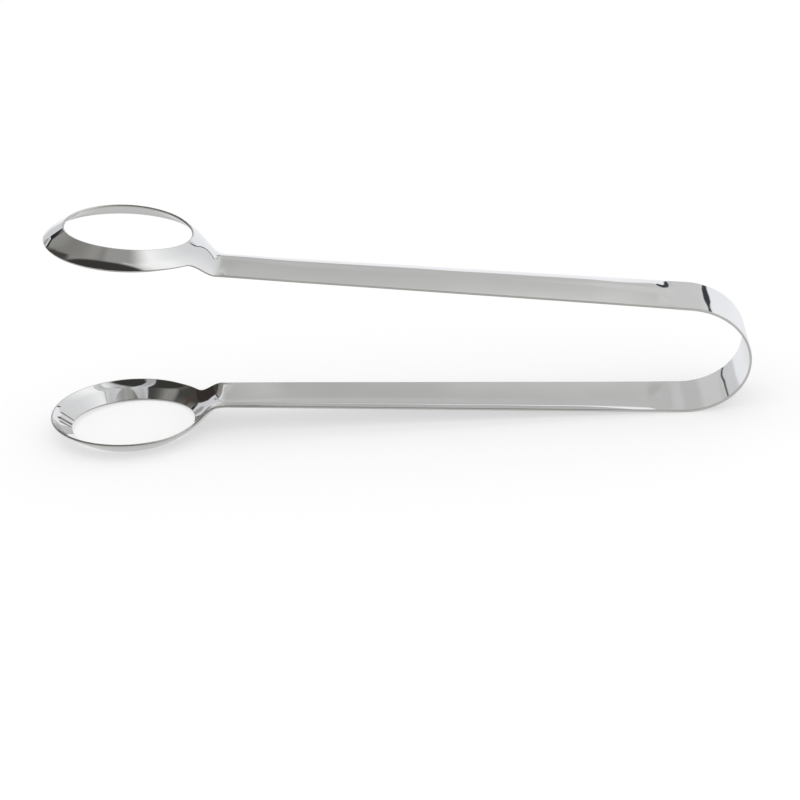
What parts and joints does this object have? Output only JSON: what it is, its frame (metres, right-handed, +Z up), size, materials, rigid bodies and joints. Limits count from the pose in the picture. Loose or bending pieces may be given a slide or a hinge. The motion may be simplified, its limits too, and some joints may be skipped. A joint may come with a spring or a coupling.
{
  "type": "bread tongs",
  "caption": "Polished stainless bread tongs: one bent spring strip whose arms end in flared open ring jaws.",
  "frame": {"origin": "on the surface the tongs stand on, under the middle of their box", "axes": "+Z up, +X from the ring jaws towards the bow, +Y across the strip, which is alike on both sides of Y = 0"},
  "size_m": [0.2126, 0.0486, 0.0675],
  "materials": {
    "polished_stainless": "polished"
  },
  "bodies": {
    "bow_middle": {"bow_middle": "polished_stainless"},
    "bow_upper_1": {"bow_upper_1": "polished_stainless"},
    "bow_upper_2": {"bow_upper_2": "polished_stainless"},
    "upper_arm": {"bow_upper_3": "polished_stainless", "upper_arm": "polished_stainless", "upper_ring_jaw": "polished_stainless"},
    "bow_lower_1": {"bow_lower_1": "polished_stainless"},
    "bow_lower_2": {"bow_lower_2": "polished_stainless"},
    "lower_arm": {"bow_lower_3": "polished_stainless", "lower_arm": "polished_stainless", "lower_ring_jaw": "polished_stainless"}
  },
  "joints": [
    {"name": "upper_arm_flex", "type": "hinge", "parent": "bow_middle", "child": "upper_arm", "pos_m": [0.10145, 0, 0.02519], "axis": [0, -1, 0], "range_deg": [0, 7.71], "stiffness_Nm_per_rad": 4.83},
    {"name": "bow_upper_1_flex", "type": "hinge", "parent": "bow_middle", "child": "bow_upper_1", "pos_m": [0.10571, 0, 0.01888], "axis": [0, -1, 0], "range_deg": [0, 2.57]},
    {"name": "bow_upper_2_flex", "type": "hinge", "parent": "bow_middle", "child": "bow_upper_2", "pos_m": [0.10404, 0, 0.02239], "axis": [0, -1, 0], "range_deg": [0, 5.14]},
    {"name": "lower_arm_flex", "type": "hinge", "parent": "bow_middle", "child": "lower_arm", "pos_m": [0.0996, 0, 0.00579], "axis": [0, 1, 0], "range_deg": [0, 7.71], "stiffness_Nm_per_rad": 4.83},
    {"name": "bow_lower_1_flex", "type": "hinge", "parent": "bow_middle", "child": "bow_lower_1", "pos_m": [0.10498, 0, 0.01118], "axis": [0, 1, 0], "range_deg": [0, 2.57]},
    {"name": "bow_lower_2_flex", "type": "hinge", "parent": "bow_middle", "child": "bow_lower_2", "pos_m": [0.10268, 0, 0.00805], "axis": [0, 1, 0], "range_deg": [0, 5.14]}
  ],
  "couplings": [
    {"joint": "bow_upper_1_flex", "follows": "upper_arm_flex", "ratio": 0.33333},
    {"joint": "bow_upper_2_flex", "follows": "upper_arm_flex", "ratio": 0.66667},
    {"joint": "lower_arm_flex", "follows": "upper_arm_flex", "ratio": 1},
    {"joint": "bow_lower_1_flex", "follows": "upper_arm_flex", "ratio": 0.33333},
    {"joint": "bow_lower_2_flex", "follows": "upper_arm_flex", "ratio": 0.66667}
  ]
}
